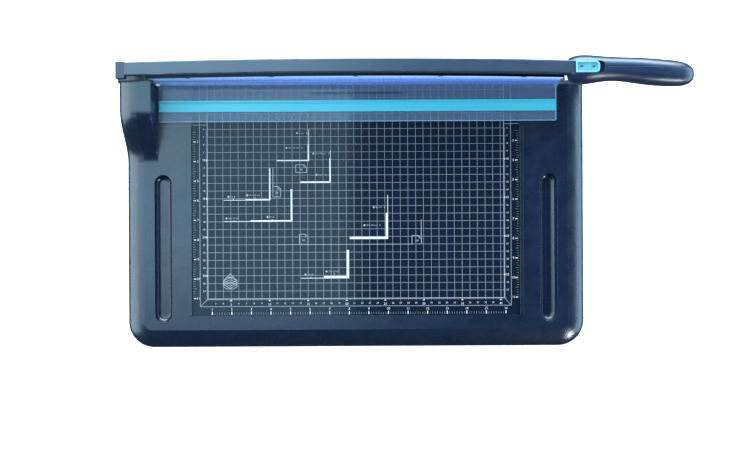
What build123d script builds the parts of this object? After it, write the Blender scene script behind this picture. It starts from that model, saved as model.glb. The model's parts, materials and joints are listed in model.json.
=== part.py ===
from build123d import *
import os
from math import cos, pi, sin, sqrt

# Lever-arm paper trimmer, A3 class.  Millimetres, +Z up.
# Working frame: X = 0 on the bed's centre line, Y = 0 on the cut line (the rear face of the
# lower blade), Z = 0 on the table.  save() moves every piece to the row frame.

# ---------------------------------------------------------------- driving dimensions
BASE_HALF_X = 298.5          # half the tray's width
BASE_FRONT_Y = -344.5        # front edge of the tray
REAR_WALL_Y = -3.0           # rear wall of the tray, behind it stands the lower blade
BED_Z = 22.0                 # plateau that carries the mat
SKIRT_Z = 4.0                # lower rim of the tray
FAR = 600.0                  # past the object in any direction
SPARE = 1.0                  # overlap of cutting tools past a face
SHOULDER_X = 24.0            # width of the sloping shoulder round the plateau
SHOULDER_Z = 15.0            # how far the shoulder drops to the outer edge
OUTER_R = 34.0               # vertical corner at the tray's outline
PLATEAU_R = 9.0              # vertical corner of the plateau
WALL = 3.0                   # moulded wall

PEDESTAL_RISE = 42.0         # pivot pedestal above the plateau
PEDESTAL_INNER_X = -256.4    # pedestal's wall towards the mat
PEDESTAL_TOP_Y = -37.0       # where the flat top starts to fall
PEDESTAL_FOOT_Y = -104.0     # where the fall meets the plateau
PEDESTAL_STEPS = 8           # loft sections down the fall

MAT_HALF_X = 212.5
MAT_FRONT_Y = -301.7
MAT_RECESS = 1.0
MAT_T = 1.2
FENCE_W = 4.5                # low moulded fence on each side of the mat
FENCE_H = 3.0
FENCE_REAR_Y = -57.6

TROUGH_X = 250.0             # finger troughs beside the mat
TROUGH_Y = (-310.5, -119.0)
TROUGH_R = 11.0
TROUGH_DEPTH = 9.0
TROUGH_BOTTOM_R = 7.0

PIVOT_X = -279.0
PIVOT_Z = 46.0
BOLT_R = 6.0
RUN_FIT = 0.05               # radial clearance of running fits
SCREW_FIT = 0.15             # radial clearance round fixing screws

ARM_LEFT_X = -299.0
ARM_RIGHT_X = 273.0
ARM_FRONT_Y = 3.2
ARM_REAR_Y = 20.0
ARM_END_TOP_Z = 67.5
ARM_ARCH = 22.0              # rise of the arm's middle over its ends
ARM_DEPTH = 21.0
ARM_WALL = 2.8
CAP_X = -288.0               # end cap reaches from the arm's left end to here

BLADE_LEFT_X = -254.0        # lower blade
UPPER_BLADE_LEFT_X = -262.0  # upper blade, hollowed round the pivot spacer
BLADE_RIGHT_X = 262.0
BLADE_TOP_Z = BED_Z + MAT_T - MAT_RECESS
BLADE_GAP = 0.06             # shear clearance between the two blades
BLADE_SCREWS_X = (-210.0, -105.0, 0.0, 105.0, 210.0)

HANDLE_END_X = 428.0
SEAM_Y = 11.5                # handle halves meet here
SEAM_GAP = 0.15
HANDLE_WALL = 3.2
# handle sections along X: x, centre y, centre z, width in Y, height in Z
HANDLE_SECTIONS = (
    (269.5, 10.6, 53.0, 28.0, 27.0),
    (278.0, 9.8, 54.0, 35.0, 32.0),
    (311.0, 10.4, 54.5, 31.6, 28.5),
    (348.0, 9.0, 53.0, 31.6, 27.0),
    (385.0, 6.2, 50.0, 33.5, 29.0),
    (410.0, 5.0, 47.2, 31.0, 27.5),
    (422.0, 4.4, 46.0, 24.0, 21.0),
    (HANDLE_END_X, 4.2, 45.6, 11.0, 9.0),
)
HANDLE_SCREWS_X = (322.0, 356.0, 390.0)

SLIDER_X = (273.4, 303.0)
SLIDER_Y = 11.2
SLIDER_W = 14.4
SLIDER_R = 5.0
SLIDER_TOP_Z = 70.8
SLOT_FLOOR_Z = 61.6
LOCK_TRAVEL = 6.5
TONGUE_X = (275.2, 283.2)
TONGUE_T = 3.0
TONGUE_SLOT_HALF = 2.2       # half the width of the slot it slides in
TONGUE_PLAY = 0.6
TONGUE_HEAD = (2.0, 2.5)     # height and side overhang of its head in the slider

CATCH_Z = (17.5, 20.0)
HOOK_Z = (12.0, 16.0)
HOOK_REACH = 4.2

GUARD_X = (-253.6, 259.4)
GUARD_Z = (25.0, 27.2)
GUARD_FRONT_Y = -51.0
GUARD_WALL_TOP_Z = 46.0
GUARD_BEND_Y = -5.6
GUARD_WALL_TOP_Y = -2.2
STRIP_Y = (-38.2, -23.4)
PEG_Y = -30.8
PEG_X = (-240.0, 246.0)
PEG_R = 3.0
GUARD_TRAVEL = 2.2
WELL_FLOOR_Z = 12.5

SHOULDER_STEPS = 5           # loft levels down the shoulder
RIDGE_ANGLE = 0.55           # radians of the ellipse left out at the ridge
REAR_WALL_T = 5.0
WELL_R = 5.6                 # spring wells of the guard
WELL_WALL = 2.4
BOSS_R = 4.5
FOOT_SEAT_Z = 4.0

RIB_Y = (-270.0, -210.0, -150.0, -90.0)
RIB_HALF_X = 228.0
RIB_COUNT_X = 7
RIB_T = 2.2
RIB_Z = (11.0, BED_Z - WALL + 0.5)

SCREW_R = 2.0                # M4 fixing screws
HEAD_R = 3.9
HEAD_H = 1.9                 # countersunk head
PAN_H = 2.4                  # raised head
DRIVE_W = 0.9                # width of a driving slot
DRIVE_DEPTH = 2.4
BORE_DEPTH = 8.0             # screw bores through the rear wall and what is behind it
BLADE_SCREW_Z = 13.5
RAIL_SCREW_L = 11.5
RAIL_T = 2.0
RAIL_HALF_X = 236.0
RAIL_FLANGE = 15.0

BRACKET_X = (-291.0, -262.0)
BRACKET_T = 3.0
BRACKET_TOP_Z = 56.0
BRACKET_CUT = 7.0            # corner cut off under the sloping shoulder
BRACKET_FOOT_Y = -35.0
BRACKET_FOOT_Z = (16.0, 19.0)
BRACKET_SCREWS_X = (-286.0, -268.0)
BRACKET_SCREW_Y = -27.5
BRACKET_SCREW_L = 12.0
LOW_HEAD_H = 2.0

BOLT_THREAD_R = 4.9
BOLT_HEAD_R = 9.0
BOLT_HEAD_H = 4.4
THREAD_L = 9.6
HEAD_SEAT_Y = 13.2           # floor of the arm's counterbore
DISC_STACK = 2.2
DISC_T = 0.7
DISC_R = 8.8
WASHER_R = 9.0
WASHER_T = 1.6
NUT_FLATS = 16.0
NUT_H = 6.5
SOCKET_R = 4.0               # hexagon socket of the bolt
SOCKET_DEPTH = 3.0
BUSH_R = 8.0
HUB_R = 15.5

ARM_EDGE_R = 1.6
ARM_HOLLOW_X = (-250.0, 250.0)
PILLAR_W = 11.0
BLADE_SCREW_DROP = 16.0      # blade screws sit this far under the arm's top line
BLADE_SCREW_L = 9.0
BLADE_EDGE_Z = (13.0, 9.0)   # cutting edge, pivot end and handle end
BLADE_RIM_DROP = 12.0        # the blade's upper rim under the arm's top line
BEVEL = 1.4
TANG_X = (ARM_RIGHT_X - 4, 398.0)
TANG_Y = (7.0, 16.0)
TANG_Z = (47.5, 60.0)
HANDLE_SCREW_Z = 52.5
HANDLE_SCREW_GRIP = 9.0      # how far the handle screws reach past the seam
HANDLE_HEAD_Y = 18.0         # seats of the screw heads, in the rear half
HANDLE_ROUND = 0.46          # corner radius over the section's smaller side
HANDLE_PILLAR_R = SCREW_R + 2.6
HANDLE_SEAT_Z = ARM_END_TOP_Z - ARM_DEPTH - 2
SLOT_FLOOR_SKIN = 0.4        # material kept under the lock slot besides the block
CAP_PROUD = 0.7
CAP_TOP = 1.6
CAP_LIP_Y = -0.6
CAP_LIP_Z = 60.0
CAP_EDGE_R = 1.2

SLIDER_FIT = 0.3
SLIDER_LOW_Z = SLOT_FLOOR_Z + SLIDER_FIT
TONGUE_NECK = 3.0
LEAF_X = (292.5, 300.5)
LEAF_W = 5.6
LEAF_RISE = 2.2
LEAF_T = 0.5
RIM_W = 2.0                  # rim round the slider's sunken panel
PANEL_DEPTH = 1.2
DIMPLE_X = 7.6               # dimples either side of the panel's middle
DIMPLE_R = 3.2
DIMPLE_RISE = 0.7            # centre of the dimple's sphere above the slider's top
RIB_PITCH = 1.5              # fine ribs between the dimples
RIB_W = 0.7
SLIDER_EDGE = 0.5

BEND_FILL = 1.5              # slope in the guard's inner bend
GUARD_CORNER_R = 2.0
STRIP_T = 0.9
STRIP_END_GAP = 0.2
STRIP_BEAD_R = 0.8
STRIP_BEAD_INSET = 3.4
PEG_LOW_Z = 6.6
RING_Z = (8.6, 9.8)
RING_R = 5.0
RING_GAP = 1.2               # half the opening of a retaining ring
PEG_GROOVE_R = 2.2
SPRING_WIRE_R = 0.4
SPRING_COIL_R = 4.3
SPRING_TURNS = 6

BUFFER_X = 258.0
BUFFER_R = 4.5
BUFFER_STEM_R = 2.0
BUFFER_TAB = (252.5, 3.8)     # left end of its tab, and the tab's front edge behind the blades
CATCH_FLANGE_T = 2.5
CATCH_RIM_Z = 2.0            # the flange starts this far above the tray's lower rim
CATCH_X = (262.6, 297.5)
CATCH_GAP_X = (272.6, 290.4)    # the latch strip swings down and slides in here
CATCH_REAR_Y = 17.5
CATCH_SCREWS_X = (267.0, 293.0)
CATCH_SCREW_Z = 11.5
CATCH_SCREW_R = 1.5

FEET = {
    "front_left": (-225.0, -300.0), "front_middle": (0.0, -300.0), "front_right": (225.0, -300.0),
    "rear_left": (-225.0, -52.0), "rear_middle": (0.0, -52.0), "rear_right": (225.0, -52.0),
}
FOOT_R = 9.0

FOOT_RIM = 2.0               # wall of the seats that hold the feet
FOOT_EDGE_R = 0.8
SPACER_R = 22.0
SPACER_GAP = 0.8             # upper blade and end cap stay this clear of the spacer
SPACER_FIT = 0.2
WASHER_Y = REAR_WALL_Y - REAR_WALL_T - BRACKET_T
BASE_LEFT = PIVOT_X - SPACER_R
HANDLE_REAR_Y = HANDLE_SECTIONS[1][1] + HANDLE_SECTIONS[1][3] / 2
ORIGIN = Vector((BASE_LEFT + HANDLE_END_X) / 2, (BASE_FRONT_Y + HANDLE_REAR_Y) / 2, 0)


# ---------------------------------------------------------------- helpers
def span(x, y, z):
    """Block between two values on each axis."""
    size = [abs(b - a) for a, b in (x, y, z)]
    centre = [(a + b) / 2 for a, b in (x, y, z)]
    return Pos(*centre) * Box(*size)


def rod(axis, at, radius, start, end):
    """Cylinder along X, Y or Z; at gives the two other coordinates in X, Y, Z order."""
    body = Cylinder(radius, abs(end - start))
    middle = (start + end) / 2
    if axis == "X":
        return Pos(middle, at[0], at[1]) * Rot(0, 90, 0) * body
    if axis == "Y":
        return Pos(at[0], middle, at[1]) * Rot(90, 0, 0) * body
    return Pos(at[0], at[1], middle) * body


def cone_y(at, r_start, r_end, start, end):
    """Cone along Y from y = start to y = end."""
    body = Cone(r_end, r_start, abs(end - start))
    return Pos(at[0], (start + end) / 2, at[1]) * Rot(90, 0, 0) * body


def whole(shape):
    """A single solid where there is one, otherwise a group of them."""
    solids = shape.solids()
    return solids[0] if len(solids) == 1 else Compound(solids)


def fuse(shapes):
    """Union of a list of shapes."""
    shapes = list(shapes)
    return whole(shapes[0].fuse(*shapes[1:]))


def cut(body, tools):
    """The body without the tools."""
    return whole(body.cut(*tools))


def common(body, limit):
    """What two shapes share."""
    return whole(body.intersect(limit))


def save(node, *shapes):
    """Write one node, moved to the row frame."""
    solids = [s for shape in shapes for s in shape.solids()]
    placed = [Pos(-ORIGIN) * s for s in solids]
    body = placed[0] if len(placed) == 1 else Compound(children=placed)
    export_step(body, f"parts/{node}.step")


# ---------------------------------------------------------------- tray
def shoulder_levels():
    """Inset and drop down the convex shoulder, ridge first.  It is the lower part of a
    quarter ellipse, so it leaves the ridge already falling."""
    levels = []
    for step in range(SHOULDER_STEPS + 1):
        angle = RIDGE_ANGLE + (pi / 2 - RIDGE_ANGLE) * step / SHOULDER_STEPS
        out = (sin(angle) - sin(RIDGE_ANGLE)) / (1 - sin(RIDGE_ANGLE))
        drop = (cos(RIDGE_ANGLE) - cos(angle)) / cos(RIDGE_ANGLE)
        levels.append((SHOULDER_X * (1 - out), SHOULDER_Z * drop))
    return levels


def outline(inset, wall, z):
    """Tray outline at one height: round front corners, square at the rear wall."""
    radius = PLATEAU_R + (OUTER_R - PLATEAU_R) * (1 - inset / SHOULDER_X) - wall
    half = BASE_HALF_X - inset - wall
    front = BASE_FRONT_Y + inset + wall
    rear = REAR_WALL_Y - (REAR_WALL_T if wall else 0)
    bend = radius * (1 - sqrt(0.5))
    corner = half - radius
    return Face(Wire([
        Line((-half, rear, z), (-half, front + radius, z)),
        ThreePointArc((-half, front + radius, z), (-half + bend, front + bend, z), (-corner, front, z)),
        Line((-corner, front, z), (corner, front, z)),
        ThreePointArc((corner, front, z), (half - bend, front + bend, z), (half, front + radius, z)),
        Line((half, front + radius, z), (half, rear, z)),
        Line((half, rear, z), (-half, rear, z)),
    ]))


def mound(wall):
    """Plateau with its shoulder and skirt; with a wall thickness it is the hollow inside."""
    top = BED_Z - wall
    body = loft([outline(inset, wall, top - drop) for inset, drop in shoulder_levels()])
    edge = top - SHOULDER_Z
    skirt = extrude(outline(0, wall, edge), amount=edge - SKIRT_Z + wall, dir=(0, 0, -1))
    return fuse([body, skirt])


def margin_section(wall):
    """Cross-section of the tray's left margin at the pedestal's full height."""
    top = BED_Z + PEDESTAL_RISE - wall
    outer = -BASE_HALF_X + wall
    inner = PEDESTAL_INNER_X - wall
    points = [(outer + inset, PEDESTAL_TOP_Y, top - drop) for inset, drop in shoulder_levels()]
    deep = top - PEDESTAL_RISE - BED_Z
    return Face(Wire([
        Spline(*points),
        Line(points[-1], (outer, PEDESTAL_TOP_Y, deep)),
        Line((outer, PEDESTAL_TOP_Y, deep), (inner, PEDESTAL_TOP_Y, deep)),
        Line((inner, PEDESTAL_TOP_Y, deep), (inner, PEDESTAL_TOP_Y, top)),
        Line((inner, PEDESTAL_TOP_Y, top), points[0]),
    ]))


def pedestal(wall):
    """The left margin raised to carry the pivot: level behind, then an S-shaped fall."""
    section = margin_section(wall)
    rear = REAR_WALL_Y - (REAR_WALL_T if wall else 0)
    level = extrude(section, amount=rear - PEDESTAL_TOP_Y, dir=(0, 1, 0))
    steps = []
    for index in range(PEDESTAL_STEPS + 1):
        along = index / PEDESTAL_STEPS
        fallen = PEDESTAL_RISE * (1 - cos(pi * along)) / 2
        steps.append(Pos(0, along * (PEDESTAL_FOOT_Y - PEDESTAL_TOP_Y), -fallen) * section)
    body = fuse([level, loft(steps)])
    keep = span((-BASE_HALF_X, 0), (BASE_FRONT_Y, 0), (SKIRT_Z - wall, BED_Z + 2 * PEDESTAL_RISE))
    return common(body, keep)


def trough(x, grow, top):
    """Round-ended, round-bottomed finger groove, from the given height down."""
    low, high = TROUGH_Y
    floor = BED_Z - TROUGH_DEPTH - grow
    slot = SlotOverall(high - low + 2 * grow, 2 * (TROUGH_R + grow), rotation=90)
    body = extrude(Pos(x, (low + high) / 2, floor) * slot, amount=top - floor)
    return fillet(body.edges().group_by(Axis.Z)[0], TROUGH_BOTTOM_R + grow)


def ribs():
    """Stiffening ribs under the plateau, clear of the finger troughs and the bed rail."""
    low, high = RIB_Z
    for y in RIB_Y:
        yield span((-RIB_HALF_X, RIB_HALF_X), (y - RIB_T / 2, y + RIB_T / 2), (low, high))
    for index in range(RIB_COUNT_X):
        x = RIB_HALF_X * (2 * index / (RIB_COUNT_X - 1) - 1)
        yield span((x - RIB_T / 2, x + RIB_T / 2), (RIB_Y[0], RIB_Y[-1]), (low, high))


def tray_additions():
    """Ribs, trough shells, side fences, spring wells, foot seats and bracket bosses."""
    yield from ribs()
    under = BED_Z - SPARE
    for side in (-1, 1):
        yield trough(side * TROUGH_X, WALL, under)
        inner = side * MAT_HALF_X
        yield span((inner, inner + side * FENCE_W), (MAT_FRONT_Y, FENCE_REAR_Y), (under, BED_Z + FENCE_H))
    for x in PEG_X:
        yield rod("Z", (x, PEG_Y), WELL_R + WELL_WALL, WELL_FLOOR_Z - WELL_WALL, under)
    for x, y in FEET.values():
        yield rod("Z", (x, y), FOOT_R + FOOT_RIM, FOOT_SEAT_Z - SPARE, under)
    roof = pedestal(WALL / 2)
    for x in BRACKET_SCREWS_X:
        boss = rod("Z", (x, BRACKET_SCREW_Y), BOSS_R, BRACKET_FOOT_Z[1], BED_Z + PEDESTAL_RISE)
        yield common(boss, roof)


def tray_removals():
    """Mat recess, finger troughs, peg bores, foot seats and all screw bores."""
    yield span((-MAT_HALF_X, MAT_HALF_X), (MAT_FRONT_Y, 0), (BED_Z - MAT_RECESS, BED_Z + FENCE_H))
    for side in (-1, 1):
        yield trough(side * TROUGH_X, 0, BED_Z + SPARE)
    for x in PEG_X:
        yield rod("Z", (x, PEG_Y), WELL_R, WELL_FLOOR_Z, BED_Z + SPARE)
        yield rod("Z", (x, PEG_Y), PEG_R + RUN_FIT, SKIRT_Z, BED_Z)
    for x, y in FEET.values():
        yield rod("Z", (x, y), FOOT_R + SCREW_FIT, 0, FOOT_SEAT_Z)
    deep = REAR_WALL_Y - BORE_DEPTH
    for x in BLADE_SCREWS_X:
        yield rod("Y", (x, BLADE_SCREW_Z), SCREW_R + SCREW_FIT, deep, 0)
    for x in CATCH_SCREWS_X:
        yield rod("Y", (x, CATCH_SCREW_Z), CATCH_SCREW_R, deep, 0)
    seat = BRACKET_FOOT_Z[1]
    for x in BRACKET_SCREWS_X:
        yield rod("Z", (x, BRACKET_SCREW_Y), SCREW_R, seat - SPARE, seat + BRACKET_SCREW_L)
    yield rod("Y", (PIVOT_X, PIVOT_Z), BOLT_R + SCREW_FIT, deep, 0)


def base_tray():
    """Moulded tray: hollow plateau with shoulders and pivot pedestal, and its details."""
    body = fuse([mound(0), pedestal(0)])
    body = cut(body, [mound(WALL), pedestal(WALL)])
    body = fuse([body, *tray_additions()])
    return cut(body, list(tray_removals()))


def printed_mat():
    """Thin laminated mat in its recess, from the front margin to the lower blade."""
    z = (BED_Z - MAT_RECESS, BED_Z - MAT_RECESS + MAT_T)
    return span((-MAT_HALF_X + 0.1, MAT_HALF_X - 0.1), (MAT_FRONT_Y + 0.1, REAR_WALL_Y), z)


# ---------------------------------------------------------------- cutting edge of the bed
def cross(x, y, z, size):
    """Two crossed driving slots in a screw head that faces along Y."""
    return [Pos(x, y, z) * Rot(0, turn, 0) * Box(size, DRIVE_DEPTH, DRIVE_W) for turn in (0, 90)]


def countersunk(x, z, face_y, length):
    """Flat-head screw along Y; its head is flush with face_y and it points towards -Y when
    length is negative."""
    side = 1 if length > 0 else -1
    head = cone_y((x, z), HEAD_R, SCREW_R, face_y, face_y + side * HEAD_H)
    shank = rod("Y", (x, z), SCREW_R, face_y, face_y + length)
    return cut(fuse([head, shank]), cross(x, face_y, z, HEAD_R))


def lower_blade():
    """Hardened strip on the tray's rear wall, flush with the mat."""
    body = span((BLADE_LEFT_X, BLADE_RIGHT_X), (REAR_WALL_Y, 0), (SKIRT_Z, BLADE_TOP_Z))
    for x in BLADE_SCREWS_X:
        body -= cone_y((x, BLADE_SCREW_Z), HEAD_R, SCREW_R, 0, -HEAD_H)
        body -= rod("Y", (x, BLADE_SCREW_Z), SCREW_R, REAR_WALL_Y - SPARE, 0)
    return body


def lower_blade_screws():
    """Flat-head screws through the lower blade and the rear wall into the rail."""
    return [countersunk(x, BLADE_SCREW_Z, 0, -RAIL_SCREW_L) for x in BLADE_SCREWS_X]


def bed_rail():
    """Folded steel angle behind the rear wall, tapped for the blade screws."""
    y = REAR_WALL_Y - REAR_WALL_T
    x = (-RAIL_HALF_X, RAIL_HALF_X)
    top = BED_Z - WALL
    web = span(x, (y - RAIL_T, y), (SKIRT_Z + SPARE, top))
    flange = span(x, (y - RAIL_FLANGE, y), (top - RAIL_T, top))
    body = fuse([web, flange])
    for x in BLADE_SCREWS_X:
        body -= rod("Y", (x, BLADE_SCREW_Z), SCREW_R + RUN_FIT, y - RAIL_T - SPARE, y + SPARE)
    return body


# ---------------------------------------------------------------- pivot
def pivot_bracket():
    """Steel angle inside the pedestal: web behind the rear wall, foot under two bosses."""
    y = REAR_WALL_Y - REAR_WALL_T
    low, high = BRACKET_FOOT_Z
    web = span(BRACKET_X, (y - BRACKET_T, y), (low, BRACKET_TOP_Z))
    top_edges = web.edges().filter_by(Axis.Y).group_by(Axis.Z)[-1]
    web = chamfer(top_edges.sort_by(Axis.X)[0], BRACKET_CUT)
    foot = span(BRACKET_X, (BRACKET_FOOT_Y, y), (low, high))
    body = fuse([web, foot])
    body -= rod("Y", (PIVOT_X, PIVOT_Z), BOLT_THREAD_R + RUN_FIT, y - BRACKET_T - SPARE, y + SPARE)
    for x in BRACKET_SCREWS_X:
        body -= rod("Z", (x, BRACKET_SCREW_Y), SCREW_R + SCREW_FIT, low - SPARE, high + SPARE)
    return body


def bracket_screws():
    """Slotted screws from below through the bracket's foot into the pedestal's bosses."""
    low = BRACKET_FOOT_Z[0]
    for x in BRACKET_SCREWS_X:
        at = (x, BRACKET_SCREW_Y)
        head = rod("Z", at, HEAD_R, low - LOW_HEAD_H, low)
        shank = rod("Z", at, SCREW_R - RUN_FIT, low, low + BRACKET_SCREW_L)
        slot = Pos(*at, low - LOW_HEAD_H) * Box(HEAD_R, DRIVE_W, LOW_HEAD_H)
        yield fuse([head, shank]) - slot


def pivot_bolt():
    """Shoulder bolt: round head in the arm's counterbore, shoulder through arm, spacer and
    wall, thread through the bracket to the nut."""
    seat = REAR_WALL_Y - REAR_WALL_T
    head_y = HEAD_SEAT_Y + DISC_STACK
    at = (PIVOT_X, PIVOT_Z)
    head = rod("Y", at, BOLT_HEAD_R, head_y, head_y + BOLT_HEAD_H)
    shoulder = rod("Y", at, BOLT_R, seat, head_y)
    thread = rod("Y", at, BOLT_THREAD_R, seat - BRACKET_T - THREAD_L, seat)
    socket = extrude(RegularPolygon(SOCKET_R, 6), amount=SOCKET_DEPTH, both=True)
    place = Pos(PIVOT_X, head_y + BOLT_HEAD_H, PIVOT_Z) * Rot(90, 0, 0)
    return fuse([head, shoulder, thread]) - place * socket


def disc_springs():
    """Pair of dished washers, cone to cone, that load the pivot so that the arm stays up."""
    half = DISC_STACK / 2
    for side, y in ((1, HEAD_SEAT_Y), (-1, HEAD_SEAT_Y + DISC_STACK)):
        outer, inner, rise = DISC_R, BOLT_R + SCREW_FIT, half - DISC_T
        ring = Polyline((inner, y + side * rise), (inner, y + side * half),
                        (outer, y + side * DISC_T), (outer, y), close=True)
        profile = make_face(ring)
        yield Pos(PIVOT_X, 0, PIVOT_Z) * revolve(profile, axis=Axis.Y, revolution_arc=360)


def ring_y(outer, inner, start, end):
    """Ring round the pivot axis between two values of Y."""
    at = (PIVOT_X, PIVOT_Z)
    return rod("Y", at, outer, start, end) - rod("Y", at, inner, start - SPARE, end + SPARE)


def pivot_nut():
    """Hexagon nut behind its washer, inside the pedestal."""
    start = REAR_WALL_Y - REAR_WALL_T - BRACKET_T - WASHER_T
    hexagon = extrude(RegularPolygon(NUT_FLATS / 2, 6, major_radius=False), amount=NUT_H)
    body = Pos(PIVOT_X, start, PIVOT_Z) * Rot(90, 0, 0) * hexagon
    return body - rod("Y", (PIVOT_X, PIVOT_Z), BOLT_THREAD_R, start - NUT_H - SPARE, start + SPARE)


# ---------------------------------------------------------------- arm
def arch_arc(drop, y):
    """Concentric arc of the arched arm, drop below its top line."""
    mid = (ARM_LEFT_X + ARM_RIGHT_X) / 2
    z = ARM_END_TOP_Z - drop
    return ThreePointArc((ARM_LEFT_X, y, z), (mid, y, z + ARM_ARCH), (ARM_RIGHT_X, y, z))


def arch_z(x, drop):
    """Height of that arc at x."""
    mid = (ARM_LEFT_X + ARM_RIGHT_X) / 2
    half = (ARM_RIGHT_X - ARM_LEFT_X) / 2
    radius = (half ** 2 + ARM_ARCH ** 2) / (2 * ARM_ARCH)
    return ARM_END_TOP_Z - drop + ARM_ARCH - radius + sqrt(radius ** 2 - (x - mid) ** 2)


def arch_bar(y_from, y_to, drop_top, drop_bottom):
    """Bar between two concentric arcs, extruded in Y."""
    top, bottom = arch_arc(drop_top, y_from), arch_arc(drop_bottom, y_from)
    sides = [Line(top @ 1, bottom @ 1), Line(bottom @ 0, top @ 0)]
    face = Face(Wire([top, bottom] + sides))
    return extrude(face, amount=y_to - y_from, dir=(0, 1, 0))


def tongue_slot():
    """Slot through tang and handle in which the latch strip slides."""
    x = (TONGUE_X[0] - TONGUE_PLAY, TONGUE_X[1] + LOCK_TRAVEL + TONGUE_PLAY)
    return span(x, (SLIDER_Y - TONGUE_SLOT_HALF, SLIDER_Y + TONGUE_SLOT_HALF), (0, FAR))


def arm_beam():
    """Arched channel, open below, solid round the pivot, with a tang for the handle."""
    body = arch_bar(ARM_FRONT_Y, ARM_REAR_Y, 0, ARM_DEPTH)
    top_edges = body.edges().filter_by(lambda e: abs(e.length - arch_arc(0, 0).length) < SPARE)
    body = fillet(top_edges.group_by(Axis.Z)[-1], ARM_EDGE_R)
    hollow = arch_bar(ARM_FRONT_Y + ARM_WALL, ARM_REAR_Y - ARM_WALL, ARM_WALL, ARM_DEPTH + SPARE)
    body -= common(hollow, span(ARM_HOLLOW_X, (0, ARM_REAR_Y), (0, FAR)))
    inside = (ARM_FRONT_Y + SPARE, ARM_REAR_Y - SPARE)
    for x in BLADE_SCREWS_X:
        low, top = arch_z(x, ARM_DEPTH) + SPARE, arch_z(x, ARM_WALL / 2)
        body += span((x - PILLAR_W / 2, x + PILLAR_W / 2), inside, (low, top))
    hub = rod("Y", (PIVOT_X, PIVOT_Z), HUB_R, ARM_FRONT_Y, ARM_REAR_Y)
    body = fuse([body, hub])
    body -= span((-FAR, CAP_X), (0, FAR), (0, FAR))
    body += span(TANG_X, TANG_Y, TANG_Z)
    body -= tongue_slot()
    body -= rod("Y", (PIVOT_X, PIVOT_Z), BUSH_R, 0, FAR)
    body -= rod("Y", (PIVOT_X, PIVOT_Z), BOLT_HEAD_R + SPARE, HEAD_SEAT_Y, FAR)
    for x in BLADE_SCREWS_X:
        at = (x, arch_z(x, BLADE_SCREW_DROP))
        body -= rod("Y", at, SCREW_R, 0, ARM_FRONT_Y + BLADE_SCREW_L)
    for x in HANDLE_SCREWS_X:
        body -= rod("Y", (x, HANDLE_SCREW_Z), SCREW_R + SPARE, 0, FAR)
    return body


def arm_end_cap():
    """Moulded cap on the arm's left end, a little prouder than the arm on every side."""
    x = (ARM_LEFT_X, CAP_X)
    low = ARM_END_TOP_Z - ARM_DEPTH - CAP_PROUD
    body = span(x, (ARM_FRONT_Y, ARM_REAR_Y + CAP_PROUD), (low, ARM_END_TOP_Z + CAP_TOP))
    body += span(x, (CAP_LIP_Y, ARM_FRONT_Y), (CAP_LIP_Z, ARM_END_TOP_Z + CAP_TOP))
    body = fillet(body.edges().filter_by(Axis.X).group_by(Axis.Z)[-1], CAP_EDGE_R)
    body -= rod("Y", (PIVOT_X, PIVOT_Z), HUB_R + RUN_FIT, 0, FAR)
    return body - rod("Y", (PIVOT_X, PIVOT_Z), SPACER_R + SPACER_GAP, -FAR, ARM_FRONT_Y)


def upper_blade():
    """Deep steel plate on the arm's front face.  Its upper rim follows the arch, its left end
    is hollowed round the spacer, and its lower edge is the cutting edge, ground on the side
    away from the bed."""
    y0, y1 = BLADE_GAP, ARM_FRONT_Y
    ends = (BLADE_RIGHT_X, 0, UPPER_BLADE_LEFT_X)
    rim = [(x, y0, arch_z(x, BLADE_RIM_DROP)) for x in ends]
    left = (UPPER_BLADE_LEFT_X, y0, BLADE_EDGE_Z[0])
    right = (BLADE_RIGHT_X, y0, BLADE_EDGE_Z[1])
    face = Face(Wire([Line(left, right), Line(right, rim[0]), ThreePointArc(*rim), Line(rim[2], left)]))
    body = extrude(face, amount=y1 - y0, dir=(0, 1, 0))
    edge = body.edges().filter_by(lambda e: e.center().Z < BED_Z and e.center().Y > y1 - RUN_FIT)
    body = chamfer(edge.sort_by(Axis.Z)[0], BEVEL * 2, BEVEL)
    body -= rod("Y", (PIVOT_X, PIVOT_Z), SPACER_R + SPACER_GAP, -SPARE, y1 + SPARE)
    for x in BLADE_SCREWS_X:
        at = (x, arch_z(x, BLADE_SCREW_DROP))
        body -= cone_y(at, HEAD_R, SCREW_R, y0, y0 + HEAD_H)
        body -= rod("Y", at, SCREW_R, y0, y1 + SPARE)
    return body


def upper_blade_screws():
    """Flat-head screws through the upper blade into the arm's pillars."""
    length = ARM_FRONT_Y + BLADE_SCREW_L - BLADE_GAP
    for x in BLADE_SCREWS_X:
        yield countersunk(x, arch_z(x, BLADE_SCREW_DROP), BLADE_GAP, length)


# ---------------------------------------------------------------- handle and lock
def handle_loft(wall):
    """Smooth grip through rounded sections; with a wall thickness it is the hollow inside."""
    faces = []
    for x, y, z, wide, high in HANDLE_SECTIONS:
        w, h = wide - 2 * wall, high - 2 * wall
        if min(w, h) > WALL:
            plane = Plane(origin=(x, y, z), x_dir=(0, 1, 0), z_dir=(1, 0, 0))
            faces.append(plane * RectangleRounded(w, h, HANDLE_ROUND * min(w, h)))
    return loft(faces)


def slot_cut(grow, low, high, travel):
    """Plan of the slider, square at the left and round-cornered at the right."""
    x = (SLIDER_X[0] - grow, SLIDER_X[1] + travel + grow)
    half = SLIDER_W / 2 + grow
    block = span(x, (SLIDER_Y - half, SLIDER_Y + half), (low, high))
    corners = block.edges().filter_by(Axis.Z).group_by(Axis.X)[-1]
    return fillet(corners, SLIDER_R + grow)


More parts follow.
